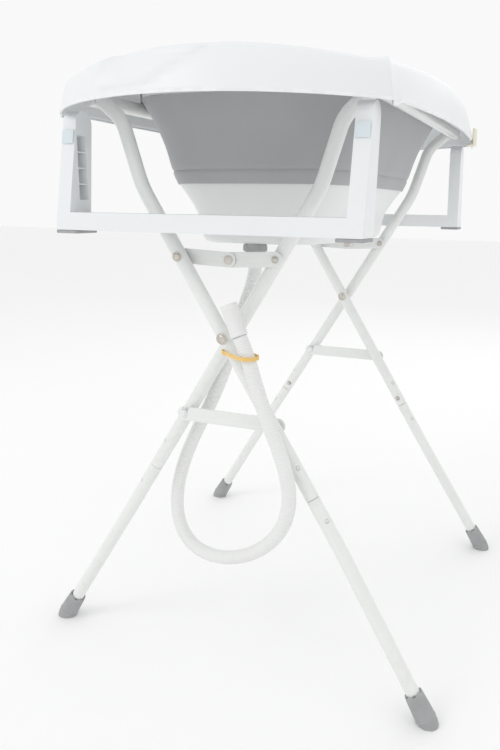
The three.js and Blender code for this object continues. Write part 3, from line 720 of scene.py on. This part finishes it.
def shapeRim(spot):
    # the hand scoop on the front left shoulder, and a shallow tray in the deck at each end
    scoop, tray = rim["scoop"], rim["tray"]
    if spot.y < -0.30:
        floorLine = scoop["low"] + max(0.0, spot.x + 0.04) * 0.56
        inside = ease(spot.x, scoop["left"], scoop["left"] + scoop["soft"])
        inside *= ease(spot.z, floorLine, floorLine + scoop["soft"])
        inside *= 1 - ease(spot.x, scoop["right"] - 0.03, scoop["right"])
        inside *= 1 - 0.7 * ease(spot.z, 0.826, 0.838)
        spot = spot + Vector((0, scoop["depth"] * inside, -0.002 * inside))
    if spot.z > 0.826:
        inside = 1 - ease(abs(spot.x), tray["halfX"] - 0.012, tray["halfX"])
        inside *= ease(abs(spot.y), tray["near"] - 0.010, tray["near"])
        inside *= 1 - ease(abs(spot.y), tray["far"], tray["far"] + 0.010)
        spot = spot + Vector((0, 0, -tray["depth"] * inside))
    return spot


rimInside = ("bead", "crest", "lip", "tuck", "skirt")


def addRim():
    ears, heels = rim["earHeight"], rim["heelDrop"]
    lower = arcRing(rim["lower"], heels=heels)
    hem = [[spot + Vector((0, 0, 0.0035)) for spot in lower],
           [spot + Vector((0, 0, 0.0042)) for spot in arcRing(rim["lower"], inset=0.0009, heels=heels)]]
    keys = [hem[1], arcRing(rim["shoulder"], ears=ears), arcRing(rim["crown"], ears=ears),
            arcRing(rim["deck"], ears=ears * 0.4)]
    bead, crest, lip, tuck, skirt = [roundedRing(rim["openX"] + across, rim["openY"] + along, height)
                                     for across, along, height in map(rim.get, rimInside)]
    rings = [lower, hem[0]] + blendRings(keys + [bead, crest, lip], (14, 9, 6, 16, 4, 4)) + [tuck, skirt]
    rings = [[shapeRim(spot) for spot in ring] for ring in rings]
    piece = growShell("bathRim", rings)
    useModifier(piece, "SOLIDIFY", thickness=rim["wall"] * 0.85, offset=-1)
    return settle(piece, "bath_rim", degrees=50)


addRim()
print("rim")


# soft wall: (share of the height, inset) from the seam up
wall = {"seamX": 0.135, "seamY": 0.208, "seamHeight": 0.6933, "topX": 0.187, "topY": 0.230,
        "topHeight": 0.808, "thickness": 0.0024,
        "folds": [(0, 0.0004), (0.05, 0.0002), (0.12, 0.0002), (0.145, 0.0016), (0.16, 0.0024),
                  (0.175, 0.0016), (0.20, 0.0012), (0.30, 0.0026), (0.42, 0.0042), (0.55, 0.0050),
                  (0.68, 0.0046), (0.80, 0.0034), (0.90, 0.0020), (0.95, 0.0012), (1.0, 0.0006)]}


def addSoftWall():
    keys = [roundedRing(wall["seamX"] + (wall["topX"] - wall["seamX"]) * share - inset,
                        wall["seamY"] + (wall["topY"] - wall["seamY"]) * share - inset,
                        wall["seamHeight"] + (wall["topHeight"] - wall["seamHeight"]) * share)
            for share, inset in wall["folds"]]
    piece = growShell("softWall", blendRings(keys, (3,) * (len(keys) - 1)))
    useModifier(piece, "SOLIDIFY", thickness=wall["thickness"], offset=-1)
    settle(piece, "soft_wall", degrees=60, body="blended")
    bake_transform(piece)


addSoftWall()


# base pan: (half width, half length, height) from the middle of the floor outwards
pan = {"floor": [(0.010, 0.016, 0.6124), (0.040, 0.080, 0.6124), (0.062, 0.140, 0.6124),
                 (0.080, 0.176, 0.6122), (0.088, 0.188, 0.6120), (0.0945, 0.1935, 0.6145),
                 (0.0985, 0.1962, 0.6195), (0.1015, 0.1975, 0.630), (0.106, 0.199, 0.652),
                 (0.1185, 0.2030, 0.672), (0.1315, 0.2070, 0.6885), (0.1345, 0.2078, 0.6930)],
       "thickness": 0.0028, "base": 0.612,
       "drainHole": [(0, -0.02), (0.0088, -0.02), (0.0088, 0.02), (0, 0.02)],
       "ribPlaces": (-0.045, -0.015, 0.015, 0.045), "ribMiddle": (0.02, 0.6116),
       "ribSize": (0.0022, 0.26, 0.0018),
       "spout": [(0.009, 0.001), (0.009, -0.009), (0.0130, -0.009), (0.0130, -0.0015), (0.0150, 0.0006),
                 (0.0150, 0.0012), (0.009, 0.001)]}


def addPan():
    keys = [roundedRing(halfX, halfY, height, 2 + 3 * min(1, halfX / 0.09))
            for halfX, halfY, height in pan["floor"]]
    rings = blendRings(keys, (2,) * (len(keys) - 1))
    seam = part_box("drain_plug")
    centre = ((seam[0].x + seam[1].x) / 2, (seam[0].y + seam[1].y) / 2, pan["base"])
    piece = growShell("basePan", rings, capStart=True)
    useModifier(piece, "SOLIDIFY", thickness=pan["thickness"], offset=-1)
    cutAway(piece, turnedPiece("drainHole", pan["drainHole"], centre, (0, 0, 1), 36))
    spout = turnedPiece("spout", pan["spout"], centre, (0, 0, 1), 36)
    # shallow ribs under the floor, either side of the middle
    ribs = []
    for x in pan["ribPlaces"]:
        bpy.ops.mesh.primitive_cube_add(size=1, location=(x, *pan["ribMiddle"]))
        rib = bpy.context.object
        rib.scale = pan["ribSize"]
        pick(rib)
        bpy.ops.object.transform_apply(location=True, rotation=True, scale=True)
        useModifier(rib, "BEVEL", width=0.0006, segments=2)
        ribs.append(rib)
    settle(joinPieces(piece, [spout, *ribs]), "base_pan", degrees=45)


addPan()
print("tub")


# end frames, with their latches and pads
endFrame = {"bevel": 0.0022, "ribHeights": (0.688, 0.708, 0.728), "ribX": 0.1950, "ribY": 0.310,
            "ribSize": (0.0135, 0.0186, 0.0016)}


def addEndFrame(tag, end):
    node = f"end_frame_{tag}"
    piece = refinedCopy(node, f"endFrame{tag.title()}", endFrame["bevel"], 4, 40)
    ribs = []
    for side in (-1, 1):
        for height in endFrame["ribHeights"]:
            place = (side * endFrame["ribX"], end * endFrame["ribY"], height)
            bpy.ops.mesh.primitive_cube_add(size=1, location=place)
            rib = bpy.context.object
            rib.scale = endFrame["ribSize"]
            pick(rib)
            bpy.ops.object.transform_apply(location=True, rotation=True, scale=True)
            ribs.append(rib)
    settle(joinPieces(piece, ribs), node, degrees=40)
    for hand in ("left", "right"):
        for kind, word, bevel in (("post_latch", "postLatch", 0.0006), ("bar_pad", "barPad", 0.0012)):
            small = f"{kind}_{tag}_{hand}"
            settle(refinedCopy(small, f"{word}{tag.title()}{hand.title()}", bevel), small)


addEndFrame("front", -1)
addEndFrame("rear", 1)
for hand in ("left", "right"):
    settle(refinedCopy(f"rail_saddle_{hand}", f"railSaddle{hand.title()}", 0.001), f"rail_saddle_{hand}")
settle(refinedCopy("rim_clip", "rimClip", 0.0007), "rim_clip")
print("end frames")


# drain: plug, coupling, hose, cuff
drain = {
    "plug": [(0, -0.006), (0.0072, -0.006), (0.0078, -0.002), (0.0083, 0.0036), (0.0098, 0.0038),
             (0.0100, 0.0056), (0.0092, 0.0070), (0.0060, 0.0076), (0.0034, 0.0082), (0.0028, 0.0110),
             (0.0034, 0.0134), (0.0032, 0.0152), (0.0018, 0.0160), (0, 0.0160)],
    "coupling": [(0.0102, -0.0274), (0.0110, -0.0276), (0.0120, -0.0266), (0.0123, -0.0250),
                 (0.0123, -0.0140), (0.0130, -0.0118), (0.0170, -0.0100), (0.0172, -0.0070),
                 (0.0170, -0.0022), (0.0160, -0.0012), (0.0134, -0.0012), (0.0134, -0.0095),
                 (0.0102, -0.0098), (0.0102, -0.0274)],
    "grip": [(0, 0), (0.0009, 0.0006), (0.0012, 0.002), (0.0012, 0.009), (0.0009, 0.0105), (0, 0.011)],
    "gripRing": 0.0121, "gripDrop": 0.0248, "diameter": 0.020,
    "gripCount": 16,
    "route": [
        (0, -0.176, 0.5832), (-0.0001, -0.1769, 0.573), (-0.0016, -0.1829, 0.5549), (-0.0052, -0.196, 0.5289),
        (-0.0093, -0.2086, 0.5029), (-0.0148, -0.218, 0.4756), (-0.0223, -0.2227, 0.4477),
        (-0.0326, -0.2233, 0.4202), (-0.0453, -0.2213, 0.3937), (-0.0592, -0.2183, 0.3681),
        (-0.0733, -0.2155, 0.3427), (-0.0867, -0.2137, 0.3165), (-0.0982, -0.2135, 0.2894),
        (-0.1064, -0.2153, 0.2615), (-0.1099, -0.2193, 0.2328), (-0.1063, -0.226, 0.2044),
        (-0.0924, -0.235, 0.1805), (-0.0691, -0.2449, 0.1662), (-0.0416, -0.254, 0.162),
        (-0.0135, -0.2619, 0.1653), (0.0135, -0.269, 0.1741), (0.0389, -0.2753, 0.1873),
        (0.0619, -0.281, 0.2046), (0.0815, -0.2862, 0.2258), (0.096, -0.2907, 0.2506),
        (0.1038, -0.2945, 0.2786), (0.1037, -0.2973, 0.3079), (0.0974, -0.2989, 0.3364),
        (0.0874, -0.2995, 0.3639), (0.076, -0.2993, 0.3909),
        (0.0647, -0.2983, 0.418), (0.0544, -0.2969, 0.4456), (0.0447, -0.2956, 0.4732), (0.033, -0.295, 0.5)],
    "cuffEnd": (0.016, -0.293, 0.540), "radius": 0.0099, "valley": 0.0094, "pitch": 0.0036, "sides": 20,
}


def smoothRoute(points, between=8):
    points = [Vector(point) for point in points]
    return [ring[0] for ring in blendRings([[point] for point in points], (between,) * (len(points) - 1))]


def addHose():
    path = smoothRoute(drain["route"])
    length = sum((b - a).length for a, b in zip(path, path[1:]))
    count = round(length / drain["pitch"])
    pitch = length / count
    # one corrugation, repeated along the route
    ridge, valley = drain["radius"], drain["valley"]
    profile = [(valley, 0), (ridge * 0.975, pitch * 0.22), (ridge, pitch * 0.38), (ridge, pitch * 0.62),
               (ridge * 0.975, pitch * 0.78), (valley, pitch)]
    piece = turnedPiece("drainHose", profile, (0, 0, 0), (0, 0, 1), drain["sides"])
    line = bpy.data.curves.new("hoseLine", "CURVE")
    line.dimensions = "3D"
    spline = line.splines.new("POLY")
    spline.points.add(len(path) - 1)
    for spot, point in zip(spline.points, path):
        spot.co = (*point, 1)
    guide = bpy.data.objects.new("hoseLine", line)
    bpy.context.scene.collection.objects.link(guide)
    useModifier(piece, "ARRAY", count=count, use_relative_offset=False, use_constant_offset=True,
                constant_offset_displace=(0, 0, pitch), use_merge_vertices=True, merge_threshold=0.00003)
    useModifier(piece, "CURVE", object=guide, deform_axis="POS_Z")
    bpy.data.objects.remove(guide)
    pick(piece)
    bpy.ops.object.mode_set(mode="EDIT")
    bpy.ops.mesh.select_mode(type="EDGE")
    bpy.ops.mesh.select_all(action="DESELECT")
    bpy.ops.mesh.select_non_manifold(extend=False)
    bpy.ops.mesh.fill_holes(sides=0)
    bpy.ops.mesh.select_all(action="SELECT")
    bpy.ops.mesh.normals_make_consistent(inside=False)
    bpy.ops.object.mode_set(mode="OBJECT")
    settle(piece, "drain_hose", degrees=60)
    return piece, path, length


def addCuff():
    start, stop = Vector(drain["route"][-1]), Vector(drain["cuffEnd"])
    length = (stop - start).length
    profile = [(0.0100, 0.0003), (0.0112, 0.0003), (0.0115, 0.0012), (0.0115, 0.0060), (0.0111, 0.0068),
               (0.0111, length - 0.0080), (0.0115, length - 0.0070), (0.0115, length - 0.0010),
               (0.0111, length), (0.0095, length), (0.0091, length - 0.0010), (0.0090, 0.0100),
               (0.0100, 0.0003)]
    return settle(turnedPiece("hoseCuff", profile, start, stop - start, 36), "hose_cuff", degrees=40)


def addCoupling():
    centre = Vector((0, drain["route"][0][1], pan["base"]))
    piece = turnedPiece("hoseCoupling", drain["coupling"], centre, (0, 0, 1), 40)
    grips = []
    for k in range(drain["gripCount"]):
        angle = 2 * math.pi * k / drain["gripCount"]
        ring = drain["gripRing"]
        spot = centre + Vector((math.cos(angle) * ring, math.sin(angle) * ring, -drain["gripDrop"]))
        grips.append(turnedPiece("grip", drain["grip"], spot, (0, 0, 1), 10))
    return settle(joinPieces(piece, grips), "hose_coupling", degrees=40)


plugPlace = (0, drain["route"][0][1], pan["base"])
settle(turnedPiece("drainPlug", drain["plug"], plugPlace, (0, 0, 1), 36), "drain_plug", degrees=40)
coupling = addCoupling()
cuff = addCuff()
hose, hosePath, hoseLength = addHose()
print("drain hose", round(hoseLength, 3))


# the solids that keep their own shape
for node, piece in frame["nodes"].items():
    if not piece.hide_render:
        piece.data.materials.clear()
        piece.data.materials.append(materials[materialOfSlot[slotOf[node]]])

print("done")
